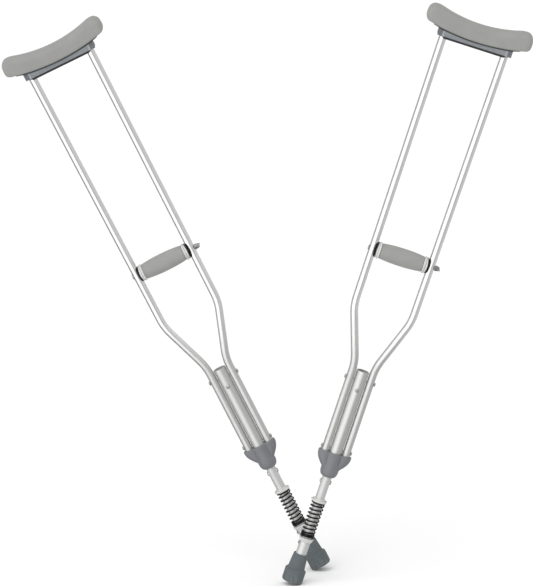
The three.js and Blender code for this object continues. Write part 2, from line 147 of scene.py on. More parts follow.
# ---------------------------------------------------------------- meshes
def softened(outline, radius, steps=3, ring=False):
    """The outline with its corners rounded; the ends of an open outline stay."""
    points = [Vector(p) for p in outline]
    count = len(points)
    result = []
    for i, corner in enumerate(points):
        if not ring and i in (0, count - 1):
            result.append(corner)
            continue
        before = points[i - 1] - corner
        after = points[(i + 1) % count] - corner
        if before.length * after.length < 1e-12 or before.angle(after) > math.radians(176):
            result.append(corner)
            continue
        reach = min(radius, 0.45 * before.length, 0.45 * after.length)
        start = corner + before.normalized() * reach
        end = corner + after.normalized() * reach
        for k in range(steps + 1):
            t = k / steps
            result.append(start * (1 - t) ** 2 + corner * (2 * t * (1 - t)) + end * t ** 2)
    return result


def skinned(rings, closed=False):
    """Faces between neighbouring rings of points; a ring of one point is a pole."""
    bm = bmesh.new()
    made = [[bm.verts.new(p) for p in ring] for ring in rings]
    pairs = list(zip(made, made[1:]))
    if closed:
        pairs.append((made[-1], made[0]))
    for lower, upper in pairs:
        count = max(len(lower), len(upper))
        for i in range(count):
            j = (i + 1) % count
            corners = [
                lower[i % len(lower)],
                lower[j % len(lower)],
                upper[j % len(upper)],
                upper[i % len(upper)],
            ]
            corners = list(dict.fromkeys(corners))
            if len(corners) > 2:
                bm.faces.new(corners)
    if not closed:
        for ring in (made[0], made[-1]):
            if len(ring) > 2:
                bm.faces.new(ring)
    bmesh.ops.recalc_face_normals(bm, faces=bm.faces)
    return bm


def turned(outline, sides=TUBE_SIDES, ring=False):
    """A solid turned about Z from an outline of (radius, height)."""
    rings = []
    for radius, height in outline:
        if radius < 1e-7:
            rings.append([(0, 0, height)])
        else:
            angles = [TURN * k / sides for k in range(sides)]
            rings.append([(radius * math.cos(a), radius * math.sin(a), height) for a in angles])
    return skinned(rings, ring)


def rectangle(low_u, low_v, high_u, high_v):
    """Corners of a rectangle, anticlockwise."""
    return [(low_u, low_v), (high_u, low_v), (high_u, high_v), (low_u, high_v)]


def turned_ring(outline, edge, steps, sides=TUBE_SIDES):
    """A hollow solid turned about Z from a closed outline, with the outline's corners rounded."""
    return turned(softened(outline, edge, steps, ring=True), sides, ring=True)


def sleeve(outer, inner, low, high, sides):
    """A short tube about Z with its rims eased."""
    return turned_ring(rectangle(inner, low, outer, high), 0.0003, 2, sides)


def rod(radius, low, high, sides=SMALL_SIDES):
    """A plain cylinder about Z."""
    return turned([(0, low), (radius, low), (radius, high), (0, high)], sides)


def moved(bm, matrix):
    """The mesh transformed, with its faces turned back outwards if the matrix mirrors it."""
    bmesh.ops.transform(bm, matrix=matrix, verts=bm.verts)
    if matrix.determinant() < 0:
        bmesh.ops.reverse_faces(bm, faces=bm.faces)
    return bm


def shifted(bm, x=0.0, y=0.0, z=0.0):
    return moved(bm, Matrix.Translation((x, y, z)))


def along_x(bm, x, z):
    """Lays a solid that was turned about Z along +X, at the place (x, z)."""
    return moved(bm, Matrix.Translation((x, 0, z)) @ Matrix.Rotation(math.pi / 2, 4, "Y"))


def along_front(bm, z):
    """Lays a solid that was turned about Z towards the front, at the height z."""
    return moved(bm, Matrix.Translation((0, 0, z)) @ Matrix.Rotation(math.pi / 2, 4, "X"))


def drill(radius, x, z):
    """A cutter across a tube, long enough for both its walls."""
    return along_x(rod(radius, -0.014, 0.014), x, z)


def at_grip(crutch, bm):
    """Lays a solid that was turned about Z along the handgrip's axis."""
    return along_x(bm, 0, crutch.grip.z)


def mirrored(bm, side):
    """The solid itself for the +X side, or its mirror image for the -X side."""
    return bm if side > 0 else moved(bm, Matrix.Scale(-1, 4, (1, 0, 0)))


def extruded(outline, half_depth, edge, steps=3):
    """An outline in the XZ plane with thickness in Y and rounded rims."""
    bm = bmesh.new()
    front = [bm.verts.new((x, -half_depth, z)) for x, z in outline]
    back = [bm.verts.new((x, half_depth, z)) for x, z in outline]
    rims = [bm.faces.new(front), bm.faces.new(list(reversed(back)))]
    for i in range(len(outline)):
        j = (i + 1) % len(outline)
        bm.faces.new((front[i], back[i], back[j], front[j]))
    bmesh.ops.recalc_face_normals(bm, faces=bm.faces)
    if edge > 0:
        rim_edges = list({e for face in rims for e in face.edges})
        bmesh.ops.bevel(bm, geom=rim_edges, offset=edge, segments=steps, profile=0.5, affect="EDGES")
    return bm


def swept(path, sideways, section):
    """Rings of a section of (u, v) along a path; u runs sideways and v square to it and the path."""
    rings = []
    for i, point in enumerate(path):
        along = (path[min(i + 1, len(path) - 1)] - path[max(i - 1, 0)]).normalized()
        u_axis = (sideways[i] - along * sideways[i].dot(along)).normalized()
        v_axis = along.cross(u_axis)
        rings.append([point + u_axis * u + v_axis * v for u, v in section])
    return rings


def circle(radius, sides):
    angles = [TURN * k / sides for k in range(sides)]
    return [(radius * math.cos(a), radius * math.sin(a)) for a in angles]


def tube_along(path, outer, inner, sides=TUBE_SIDES):
    """An open-ended tube along a path in the XZ plane, with its rims eased."""
    ease = 0.0003
    sideways = [REAR] * len(path)
    outside = swept(path, sideways, circle(outer, sides))
    inside = swept(path, sideways, circle(inner, sides))
    middle = (outer + inner) / 2
    first = swept(path[:2], sideways, circle(middle, sides))[0]
    last = swept(path[-2:], sideways, circle(middle, sides))[1]
    start = (path[0] - path[1]).normalized() * ease
    end = (path[-1] - path[-2]).normalized() * ease
    first = [p + start for p in first]
    last = [p + end for p in last]
    return skinned([first, *outside, last, *reversed(inside)], closed=True)


def bent_path(corners, radius, steps=12):
    """Straight runs between the corners with every inner corner turned on a radius."""
    path = [corners[0]]
    for before, corner, after in zip(corners, corners[1:], corners[2:]):
        into = (corner - before).normalized()
        out = (after - corner).normalized()
        bend = into.angle(out)
        inwards = (out - into).normalized()
        halfway = (out + into).normalized()
        centre = corner + inwards * (radius / math.cos(bend / 2))
        for k in range(steps + 1):
            angle = bend * (k / steps - 0.5)
            path.append(centre + radius * (halfway * math.sin(angle) - inwards * math.cos(angle)))
    path.append(corners[-1])
    return path


def straight_path(heights):
    """A path down the crutch's own axis with a station at each height."""
    return [Vector((0, 0, z)) for z in sorted(heights, reverse=True)]


def ringed_at(path, heights):
    """The path with more stations at the given heights on its straight runs."""
    result = [path[0]]
    for a, b in zip(path, path[1:]):
        between = sorted((h for h in heights if b.z < h < a.z), reverse=True)
        result += [a.lerp(b, (a.z - h) / (a.z - b.z)) for h in between]
        result.append(b)
    return result


def as_object(bm, name="work"):
    """A scene object with the mesh in it; the mesh under construction is used up."""
    mesh = bpy.data.meshes.new(name)
    bm.to_mesh(mesh)
    bm.free()
    obj = bpy.data.objects.new(name, mesh)
    bpy.context.scene.collection.objects.link(obj)
    return obj


def gathered(parts):
    """Several solids in one mesh."""
    whole = bmesh.new()
    for part in parts:
        mesh = bpy.data.meshes.new("work")
        part.to_mesh(mesh)
        part.free()
        whole.from_mesh(mesh)
        bpy.data.meshes.remove(mesh)
    return whole


def combined(body, others, operation):
    """The body with the other solids cut from it or joined to it."""
    holder = as_object(body)
    for other in others:
        modifier = holder.modifiers.new("combine", "BOOLEAN")
        modifier.object = as_object(other)
        modifier.operation = operation
        modifier.solver = "EXACT"
    bpy.context.view_layer.update()
    mesh = bpy.data.meshes.new_from_object(holder.evaluated_get(bpy.context.evaluated_depsgraph_get()))
    result = bmesh.new()
    result.from_mesh(mesh)
    for modifier in list(holder.modifiers):
        bpy.data.objects.remove(modifier.object)
    bpy.data.objects.remove(holder)
    bpy.data.meshes.remove(mesh)
    bmesh.ops.remove_doubles(result, verts=result.verts, dist=1e-6)
    bmesh.ops.dissolve_degenerate(result, edges=result.edges, dist=1e-6)
    return result


def cut(body, tools):
    """The body less all the tools, in one go."""
    return combined(body, [gathered(tools)], "DIFFERENCE")


def joined(body, others):
    """The body with the other solids grown into it, one after another."""
    return combined(body, others, "UNION")


# ---------------------------------------------------------------- materials
def add_node(tree, kind, inputs=None, **settings):
    """A shader node with its settings, and its inputs linked to a socket or set to a value."""
    node = tree.nodes.new(kind)
    for key, value in settings.items():
        setattr(node, key, value)
    for key, value in (inputs or {}).items():
        if isinstance(value, bpy.types.NodeSocket):
            tree.links.new(value, node.inputs[key])
        else:
            node.inputs[key].default_value = value
    return node


class Finish:
    """A material under construction: one Principled shader and the nodes that feed it.

    Patterns are laid out by the attribute crutch_place, a point's place in its crutch's own frame,
    so that they lie along the tubes and move with the piece.
    """

    def __init__(self, name, **values):
        self.material = bpy.data.materials.new(name)
        self.material.use_nodes = True
        self.tree = self.material.node_tree
        self.shader = self.tree.nodes["Principled BSDF"]
        self.bumps = None
        self.place = self.node("ShaderNodeAttribute", attribute_name="crutch_place").outputs["Vector"]
        for socket, value in values.items():
            self.shader.inputs[socket.replace("_", " ")].default_value = value

    def node(self, kind, inputs=None, **settings):
        return add_node(self.tree, kind, inputs, **settings)

    def scaled(self, x, y, z):
        """The place, with the pattern repeating this many times in a metre each way."""
        inputs = {0: self.place, 1: (x, y, z)}
        return self.node("ShaderNodeVectorMath", inputs, operation="MULTIPLY").outputs[0]

    def noise(self, scale, detail, roughness=0.55, distortion=0.0):
        """Noise with this many main features in a metre, one number or one for each direction."""
        x, y, z = scale if isinstance(scale, tuple) else (scale, scale, scale)
        inputs = {
            "Vector": self.scaled(x, y, z),
            "Scale": 1.0,
            "Detail": detail,
            "Roughness": roughness,
            "Distortion": distortion,
        }
        return self.node("ShaderNodeTexNoise", inputs).outputs["Fac"]

    def cells(self, scale):
        """Distance from the middle of the nearest of this many cells in a metre."""
        inputs = {"Vector": self.scaled(scale, scale, scale), "Scale": 1.0}
        return self.node("ShaderNodeTexVoronoi", inputs).outputs["Distance"]

    def ranged(self, value, low, high, to_low, to_high):
        """The value's stretch from low to high as to_low to to_high, held beyond them."""
        inputs = {
            "Value": value,
            "From Min": low,
            "From Max": high,
            "To Min": to_low,
            "To Max": to_high,
        }
        return self.node("ShaderNodeMapRange", inputs, clamp=True).outputs["Result"]

    def math(self, operation, a, b=0.0):
        return self.node("ShaderNodeMath", {0: a, 1: b}, operation=operation).outputs[0]

    def along(self, axis):
        """A point's place across (X), to the rear (Y) or up the crutch (Z)."""
        return self.node("ShaderNodeSeparateXYZ", {"Vector": self.place}).outputs[axis]

    def mixed(self, share, a, b):
        """Colour a, turning into colour b as the share goes from 0 to 1."""
        a, b = (c if isinstance(c, bpy.types.NodeSocket) else (*c, 1.0) for c in (a, b))
        return self.node("ShaderNodeMix", {0: share, 6: a, 7: b}, data_type="RGBA").outputs[2]

    def graded(self, value, low, high, a, b, most=1):
        """Colour a where the value is low, and b, or that share of it, where the value is high."""
        return self.mixed(self.ranged(value, low, high, 0, most), a, b)

    def colour(self, value):
        self.tree.links.new(value, self.shader.inputs["Base Color"])

    def roughness(self, value):
        self.tree.links.new(value, self.shader.inputs["Roughness"])

    def bump(self, value, depth, strength):
        """Adds relief; each call lies on the one before it."""
        inputs = {"Height": value, "Distance": depth, "Strength": strength}
        if self.bumps is not None:
            inputs["Normal"] = self.bumps
        self.bumps = self.node("ShaderNodeBump", inputs).outputs["Normal"]
        self.tree.links.new(self.bumps, self.shader.inputs["Normal"])


def toned(tone, times):
    """A darker or lighter tone of a colour."""
    return tuple(c * times for c in tone)


def foam(name, tone, cell):
    """Closed-cell foam: fine pores, faint blotches and a slightly polished skin."""
    finish = Finish(name, Specular_IOR_Level=0.3, Sheen_Weight=0.1, Sheen_Roughness=0.6)
    blotches = finish.noise(35, 4, 0.6)
    grain = finish.noise(900, 3, 0.65)
    pores = finish.cells(cell)
    base = finish.graded(blotches, 0.3, 0.7, toned(tone, 0.95), toned(tone, 1.04))
    finish.colour(finish.graded(grain, 0.52, 0.72, base, toned(tone, 0.72), 0.4))
    finish.roughness(finish.ranged(blotches, 0.3, 0.7, 0.78, 0.92))
    finish.bump(finish.noise(55, 2), 0.0006, 0.25)
    finish.bump(pores, 0.00035, 0.55)
    finish.bump(grain, 0.0002, 0.5)
    return finish.material


def mould_grain(finish, tone, roughness):
    """Faint flow marks, rubbed places and a fine spark-eroded grain; gives the colour."""
    flow = finish.noise((40, 40, 15), 3, 0.6, 0.4)
    rubbed = finish.noise(25, 5, 0.7)
    finish.roughness(finish.ranged(rubbed, 0.35, 0.7, roughness + 0.1, roughness - 0.08))
    finish.bump(finish.cells(1400), 0.00012, 0.45)
    finish.bump(finish.noise(18, 2), 0.0006, 0.15)
    return finish.graded(flow, 0.3, 0.7, toned(tone, 0.92), toned(tone, 1.08))


def moulded(name, tone, roughness=0.42):
    """Injection-moulded plastic."""
    finish = Finish(name, Specular_IOR_Level=0.45)
    finish.colour(mould_grain(finish, tone, roughness))
    return finish.material


def saddle_plastic(name, tone, cushion_low, saddle_low, half_depth):
    """Blue-grey plastic, with light and shade painted on: a painted highlight on its rims, painted shade on its
    lugs, a painted shadow band under the cushion and near-black painted shade along its lower edge.
    """
    finish = Finish(name, Specular_IOR_Level=0.4)
    depth = finish.math("ABSOLUTE", finish.along("Y"))
    across = finish.math("ABSOLUTE", finish.along("X"))
    panel = mould_grain(finish, tone, 0.45)
    # painted highlight: the front and rear rims round the recessed panels are painted paler
    rim = half_depth - 0.0008
    rim_highlighted = finish.graded(depth, rim, rim + 0.0005, panel, toned(tone, 1.25), 0.8)
    # painted shade: the lugs beyond the body are painted much darker, as if lying in shade
    lug = SADDLE_BODY_REACH
    body = finish.graded(across, lug, lug + 0.0008, rim_highlighted, toned(tone, 0.4), 0.9)
    # painted shadow: a dark band just under the cushion's underside, where the cushion's shadow falls on the
    # saddle
    inputs = {0: finish.scaled(1, 0, 1), 1: (0, 0, cushion_low + CUSHION_UNDER_RADIUS)}
    from_centre = finish.node("ShaderNodeVectorMath", inputs, operation="DISTANCE").outputs["Value"]
    seam_shadow_end = CUSHION_UNDER_RADIUS + 0.0040
    seam_shadow = finish.ranged(from_centre, seam_shadow_end - 0.0006, seam_shadow_end + 0.0006, 1, 0)
    seam_shadowed = finish.mixed(seam_shadow, body, (0.045, 0.050, 0.050))
    # painted shade: the lowest few millimetres are painted near black, standing for the shade under the saddle
    lip = finish.ranged(finish.along("Z"), saddle_low + 0.0036, saddle_low + 0.0042, 1, 0)
    finish.colour(finish.mixed(lip, seam_shadowed, (0.010, 0.011, 0.012)))
    return finish.material


def anodised(name):
    """Drawn and anodised aluminium: lines along the tube, soft clouding and a few handling marks.

    It is bright above the bends; below them, where the tubes are joined, it has a rougher finish and its colour is
    painted darker, as painted shade.
    """
    finish = Finish(name, Metallic=1.0, Specular_IOR_Level=0.5)
    drawn = finish.noise((1700, 1700, 5), 3, 0.6)
    coarse = finish.noise((420, 420, 2.2), 2, 0.5)
    clouds = finish.noise(14, 4, 0.6)
    specks = finish.noise(260, 2, 0.5)
    # below the bends the tube is rougher, and its colour is painted darker there as painted shade
    satin_and_shade = finish.ranged(finish.along("Z"), LOWER_BEND, WAIST_HEIGHT, 1, 0)
    bright = finish.graded(drawn, 0.35, 0.65, (0.73, 0.73, 0.735), (0.86, 0.86, 0.85))
    shaded_dull = finish.graded(drawn, 0.35, 0.65, (0.55, 0.55, 0.545), (0.67, 0.67, 0.66))
    lines = finish.mixed(satin_and_shade, bright, shaded_dull)
    clouded = finish.graded(clouds, 0.35, 0.75, lines, (0.60, 0.60, 0.60), 0.25)
    finish.colour(finish.graded(specks, 0.70, 0.78, clouded, (0.4, 0.4, 0.4), 0.5))
    streaked = finish.ranged(drawn, 0.3, 0.7, -0.03, 0.05)
    worn = finish.math("ADD", finish.ranged(clouds, 0.3, 0.7, 0.22, 0.32), streaked)
    finish.roughness(finish.math("ADD", worn, finish.ranged(satin_and_shade, 0, 1, 0, 0.20)))
    finish.bump(drawn, 0.00004, 0.5)
    finish.bump(coarse, 0.00008, 0.25)
    return finish.material


def satin_tube(name):
    """Satin aluminium of the leg and the foot: even and pale, with fine lines along the tube."""
    finish = Finish(name, Metallic=0.65, Specular_IOR_Level=0.5)
    drawn = finish.noise((1700, 1700, 5), 3, 0.6)
    rubbed = finish.noise((60, 60, 25), 4, 0.6)
    lines = finish.graded(drawn, 0.35, 0.65, (0.55, 0.55, 0.545), (0.66, 0.66, 0.65))
    finish.colour(finish.graded(rubbed, 0.55, 0.75, lines, (0.49, 0.49, 0.49), 0.4))
    finish.roughness(finish.ranged(rubbed, 0.3, 0.7, 0.44, 0.56))
    finish.bump(drawn, 0.00004, 0.5)
    return finish.material


def mill_bore(name):
    """The unpolished inside of a tube."""
    finish = Finish(name, Metallic=0.4, Specular_IOR_Level=0.3)
    drawn = finish.noise((900, 900, 12), 3, 0.6)
    finish.colour(finish.graded(drawn, 0.3, 0.7, (0.36, 0.36, 0.36), (0.5, 0.5, 0.49)))
    finish.roughness(finish.ranged(drawn, 0.3, 0.7, 0.6, 0.8))
    finish.bump(drawn, 0.00008, 0.4)
    return finish.material


def plated(name, tone, roughness):
    """Plated steel: small pits and a cloudy polish."""
    finish = Finish(name, Metallic=1.0)
    clouds = finish.noise(300, 4, 0.6)
    pits = finish.noise(1500, 2, 0.5)
    finish.colour(finish.graded(pits, 0.6, 0.72, tone, toned(tone, 0.7), 0.7))
    finish.roughness(finish.ranged(clouds, 0.3, 0.7, roughness - 0.05, roughness + 0.1))
    finish.bump(clouds, 0.00006, 0.3)
    finish.bump(pits, 0.00005, 0.4)
    return finish.material


def spring_black(name):
    """Gloss black coating on the coils, thin and greyer in small worn patches."""
    finish = Finish(name, Metallic=0.0, Specular_IOR_Level=0.18, Coat_Weight=0.08, Coat_Roughness=0.2)
    worn = finish.noise(420, 4, 0.7)
    peel = finish.noise(1300, 2, 0.5)
    finish.colour(finish.graded(worn, 0.62, 0.74, (0.003, 0.003, 0.0035), (0.03, 0.03, 0.03), 0.5))
    finish.roughness(finish.ranged(worn, 0.45, 0.7, 0.3, 0.5))
    finish.bump(peel, 0.00005, 0.35)
    return finish.material


def tip_rubber(name):
    """Slate rubber: fine grain, a dusty bloom, and scuffs towards the floor."""
    finish = Finish(name, Specular_IOR_Level=0.35)
    bloom = finish.noise(45, 4, 0.6)
    scuffs = finish.noise((260, 260, 60), 4, 0.7)
    low = finish.ranged(finish.along("Z"), 0.0, 0.022, 1, 0)
    base = finish.graded(bloom, 0.3, 0.7, (0.088, 0.103, 0.110), (0.114, 0.131, 0.139))
    scuffed = finish.math("MULTIPLY", low, finish.ranged(scuffs, 0.48, 0.68, 0, 0.8))
    finish.colour(finish.mixed(scuffed, base, (0.25, 0.25, 0.24)))
    finish.roughness(finish.ranged(bloom, 0.3, 0.7, 0.62, 0.82))
    finish.bump(finish.cells(1100), 0.00018, 0.5)
    finish.bump(scuffs, 0.00025, 0.25)
    return finish.material


def all_materials(crutch):
    """Every finish by the name of its slot in the record, and that of the bores."""
    cushion_low = crutch.slice("underarm_cushion", 0, 0.0)[0].z
    saddle_low, saddle_high = crutch.span("underarm_saddle")
    saddle_edges = (cushion_low, saddle_low.z, saddle_high.y)
    return {
        "cushion_foam": foam("cushion_foam", (0.282, 0.282, 0.272), 700),
        "grip_foam": foam("grip_foam", (0.285, 0.285, 0.277), 900),
        "saddle_plastic": saddle_plastic("saddle_plastic", (0.27, 0.283, 0.302), *saddle_edges),
        "collar_plastic": moulded("collar_plastic", (0.161, 0.165, 0.176)),
        "anodised_tube": anodised("anodised_tube"),
        "satin_tube": satin_tube("satin_tube"),
        "mill_bore": mill_bore("mill_bore"),
        "rivet_steel": plated("rivet_steel", (0.42, 0.42, 0.42), 0.36),
        "plated_steel": plated("plated_steel", (0.5, 0.5, 0.5), 0.25),
        "dull_steel": plated("dull_steel", (0.27, 0.27, 0.27), 0.4),
        "spring_steel": plated("spring_steel", (0.4, 0.4, 0.41), 0.35),
        "black_spring": spring_black("black_spring"),
        "black_plastic": moulded("black_plastic", (0.012, 0.012, 0.013), 0.45),
        "grey_plastic": moulded("grey_plastic", (0.38, 0.39, 0.4), 0.45),
        "pale_plastic": moulded("pale_plastic", (0.58, 0.58, 0.57), 0.35),
        "tip_rubber": tip_rubber("tip_rubber"),
    }


CRUTCHES = [Crutch("left"), Crutch("right")]
MATERIALS = all_materials(CRUTCHES[0])


# ---------------------------------------------------------------- pieces
def shaped(crutch, node, bm, suffix="fine", sharp=38, finish=None):
    """The object for a CAD node, from a solid in the crutch's frame, with the finish named by its slot or the one
    given.
    """
    slot = SLOT_OF[f"{crutch.side}_{node}"]
    obj = as_object(bm, f"{crutch.side}_{node}_{suffix}")
    mesh = obj.data
    places = np.empty(len(mesh.vertices) * 3, np.float32)
    mesh.vertices.foreach_get("co", places)
    mesh.attributes.new("crutch_place", "FLOAT_VECTOR", "POINT").data.foreach_set("vector", places)
    mesh.transform(crutch.place)
    mesh.shade_smooth()
    mesh.set_sharp_from_angle(angle=math.radians(sharp))
    mesh.materials.append(MATERIALS[finish or slot])
    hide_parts(f"{crutch.side}_{node}")
    return obj


def piece(crutch, node, bm, **details):
    """A piece that stands for a CAD node and moves with its body."""
    obj = shaped(crutch, node, bm, **details)
    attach(obj, BODY_OF[f"{crutch.side}_{node}"])
    return obj


def bending(crutch, node, bm, bodies, start, end, **details):
    """A piece set in place in the crutch's frame, attached to no body; bodies, start and end are not used."""
    obj = shaped(crutch, node, bm, **details)
    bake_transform(obj)
    return obj


def bored(obj, crutch, radius):
    """Gives the faces within a radius of the crutch's own axis the finish of a tube's inside."""
    obj.data.materials.append(MATERIALS["mill_bore"])
    home = crutch.place.inverted()
    for face in obj.data.polygons:
        centre = home @ face.center
        if math.hypot(centre.x, centre.y) < radius:
            face.material_index = 1
    return obj


def arc_rise(radius, x):
    """How far an arc has risen at x from its lowest point, at 0."""
    return radius - math.sqrt(radius * radius - x * x)


# ---------------------------------------------------------------- armrest
def cushion(crutch):
    """Foam cushion: a hanging arc with a horn at each end, all its edges soft.

    Each corner is the reach along the cushion over which an end rounds off, and how far it falls.
    """
    high = crutch.span("underarm_cushion")[1]
    middle_low, middle_high = crutch.slice("underarm_cushion", 0, 0.0)
    length = high.x + 0.0012
    half_width = high.y
    top_edge = 0.010
    under_edge = 0.004
    horn_start = 0.080
    horn_peak = 0.093
    crown = 0.0022
    top_corner = (0.014, 0.0105)
    under_corner = (0.008, 0.0050)
    plan_corner = (0.012, 0.009)
    side_bulge = 0.028
    end_bulge = 0.0008
    end_run = 0.016

    def top(x):
        x = abs(x)
        slope = horn_start / math.sqrt(CUSHION_TOP_RADIUS ** 2 - horn_start ** 2)
        past = max(x - horn_start, 0.0)
        fall = slope / (2 * (horn_peak - horn_start))
        arc = arc_rise(CUSHION_TOP_RADIUS, min(x, horn_start))
        return middle_high.z + crown + arc + slope * past - fall * past ** 2

    def under(x):
        return middle_low.z + arc_rise(CUSHION_UNDER_RADIUS, x)

    def corner(x, reach, drop):
        """How far an end's rounded corner has fallen away at x."""
        share = max(abs(x) - (length - reach), 0) / reach
        return drop * (1 - math.sqrt(max(1 - share ** 2, 0)))

    def section(x, shrink=0.0):
        """A cross-section at x; shrink draws it in towards its middle over the end face."""
        upper = top(x) - corner(x, *top_corner) - shrink
        lower = under(x) + corner(x, *under_corner) + shrink
        half = half_width - corner(x, *plan_corner) - shrink
        outline = []
        for y, z, wanted, turn in (
            (-half, lower, under_edge, 180),
            (half, lower, under_edge, 270),
            (half, upper, top_edge, 0),
            (-half, upper, top_edge, 90),
        ):
            radius = min(wanted, 0.45 * (upper - lower), 0.45 * half)
            centre = (y - math.copysign(radius, y), z + (radius if z == lower else -radius))
            for k in range(8):
                angle = math.radians(turn + 90 * k / 7)
                point = (centre[0] + radius * math.cos(angle), centre[1] + radius * math.sin(angle))
                outline.append((*point, 6 if k == 7 else 1))
        middle = (upper + lower) / 2
        reach = (upper - lower) / 2
        ring = []
        for (y, z, parts), (next_y, next_z, _) in zip(outline, outline[1:] + outline[:1]):
            for k in range(parts):
                at_y = y + (next_y - y) * k / parts
                at_z = z + (next_z - z) * k / parts
                bulge = 1 + side_bulge * (1 - min(abs(at_z - middle) / reach, 1) ** 2)
                settled = crown * (at_y / half_width) ** 2 * (at_z > middle)
                ring.append((x, at_y * bulge, at_z - settled))
        return ring

    straight = length - end_run
    places = [straight * (2 * k / 40 - 1) for k in range(41)]
    for k in range(1, 13):
        x = straight + end_run * math.sin(math.radians(90 * k / 12))
        places.append(x)
        places.insert(0, -x)
    rings = [section(x) for x in places]
    for shrink in (0.002, 0.005):
        bulge = end_bulge * math.sqrt(shrink / 0.005)
        for end in (-1, 1):
            cap = [(end * (length + bulge), y, z) for _, y, z in section(end * length, shrink)]
            rings.insert(0 if end < 0 else len(rings), cap)
    return piece(crutch, "underarm_cushion", skinned(rings), sharp=60)


def saddle(crutch):
    """Moulded saddle: a flange under the cushion, a socket and a lug for each upright, a ribbed panel."""
    low, high = crutch.span("underarm_saddle")
    seat_middle = crutch.slice("underarm_saddle", 0, 0.0)[1].z
    upright_top = crutch.span("outer_upright")[1].z
    socket_x, upright_radius = crutch.tube_end("inner_upright", top=True)
    lug_bottom = low.z + 0.004
    chamfer = 0.005

    def seat(x):
        return seat_middle + arc_rise(CUSHION_UNDER_RADIUS, x)

    half_underside = [
        (SADDLE_BODY_REACH - chamfer, low.z),
        (SADDLE_BODY_REACH, lug_bottom - 0.0008),
        (SADDLE_LUG_REACH - 0.004, lug_bottom),
        (SADDLE_LUG_REACH, lug_bottom - 0.0004),
        (SADDLE_LUG_REACH, seat(SADDLE_LUG_REACH) - 0.0030),
        (high.x, seat(high.x) - 0.0018),
    ]
    steps = 24
    seat_line = [(x, seat(x)) for x in (high.x * (1 - 2 * k / steps) for k in range(steps + 1))]
    other_half = [(-x, z) for x, z in reversed(half_underside)]
    outline = softened([*other_half, *half_underside, *seat_line], 0.0010, 2, ring=True)
    body = extruded(outline, high.y, 0)

    panel_half = 0.0635
    panel_floor = low.z + 0.0036
    panel_top = [(x, seat(x) - 0.0034) for x in (panel_half * (1 - 2 * k / 12) for k in range(13))]
    panel = [(-panel_half, panel_floor), (panel_half, panel_floor), *panel_top]
    panel = softened(panel, 0.002, 3, ring=True)
    tools = [shifted(extruded(panel, 0.0013, 0), y=y) for y in (-high.y, high.y)]
    for x in (-socket_x, socket_x):
        bore = rod(upright_radius + GAP, low.z - 0.002, upright_top + GAP, TUBE_SIDES)
        tools.append(shifted(bore, x))
    pocket_half = 0.050
    pocket = rectangle(-pocket_half, low.z - 0.002, pocket_half, low.z + 0.0028)
    tools.append(extruded(pocket, high.y - 0.0022, 0))
    body = cut(body, tools)

    ribs = []
    for y in (-high.y + 0.0010, high.y - 0.0010):
        for k in range(2):
            z = panel_floor + 0.0022 + 0.0026 * k
            rib = extruded(rectangle(-panel_half, z - 0.0003, panel_half, z + 0.0003), 0.0006, 0)
            ribs.append(shifted(rib, y=y))
    return piece(crutch, "underarm_saddle", joined(body, ribs), sharp=32)


# ---------------------------------------------------------------- frame
def grip_holes(crutch):
    """Heights of the five holes in each upright, with the grip in the middle one."""
    return [crutch.grip.z + k * HOLE_PITCH for k in (-2, -1, 0, 1, 2)]


def rivet_heights(crutch):
    """Heights of the two rivets in each upright."""
    return [crutch.height(f"outer_{which}_rivet") for which in ("upper", "lower")]


def upright(crutch, name, side):
    """A bent side tube with its row of grip holes and its two rivet holes."""
    node = f"{name}_upright"
    low, high = crutch.span(node)
    foot_x, radius = crutch.tube_end(node, top=False)
    corners = [
        Vector((crutch.tube_end(node, top=True)[0], 0, high.z)),
        Vector((side * WAIST_HALF_SPACING, 0, WAIST_HEIGHT)),
        Vector((foot_x, 0, LOWER_BEND)),
        Vector((foot_x, 0, low.z)),
    ]
    path = bent_path(corners, BEND_RADIUS)
    holes = [(z, BOLT_HOLE_RADIUS) for z in grip_holes(crutch)]
    holes += [(z, RIVET_HOLE_RADIUS) for z in rivet_heights(crutch)]
    beside_holes = [z + step for z, _ in holes for step in (-0.006, 0.006)]
    even = [low.z + 0.025 * k for k in range(1, 37)]
    path = ringed_at(path, beside_holes + even)
    tube = tube_along(path, radius, radius - WALL)
    drills = []
    for z, hole in holes:
        x = side * WAIST_HALF_SPACING if z > LOWER_BEND else foot_x
        drills.append(drill(hole, x, z))
    return piece(crutch, node, cut(tube, drills))


def blind_rivet(shank, radius, tail, end, head, shoulder, crown, dimple, depth):
    """A rivet about Z: a shank, and a low dome with the dimple of its drawn stem.

    The shoulder and the crown are places on the dome, as shares of its radius and its height.
    """
    face = end - head
    outline = [
        (0, tail),
        (shank, tail),
        (shank, face),
        (radius, face),
        (radius, face + 0.0004),
        (radius * shoulder[0], face + head * shoulder[1]),
        (radius * crown[0], face + head * crown[1]),
        (0.0013, end),
        (dimple, end - 0.0001),
        (dimple - 0.0001, end - depth),
        (0, end - depth - 0.0001),
    ]
    return turned(softened(outline, 0.0004, 3), SMALL_SIDES)


def frame_rivet(crutch, node, side):
    """A rivet from an upright into the centre tube."""
    tail, end = crutch.reach(node)
    shape = dict(head=0.0024, shoulder=(0.84, 0.62), crown=(0.5, 0.94), dimple=0.0010, depth=0.0011)
    solid = blind_rivet(RIVET_HOLE_RADIUS - 0.0001, crutch.half_height(node), tail, end, **shape)
    return piece(crutch, node, mirrored(along_x(solid, 0, crutch.height(node)), side))


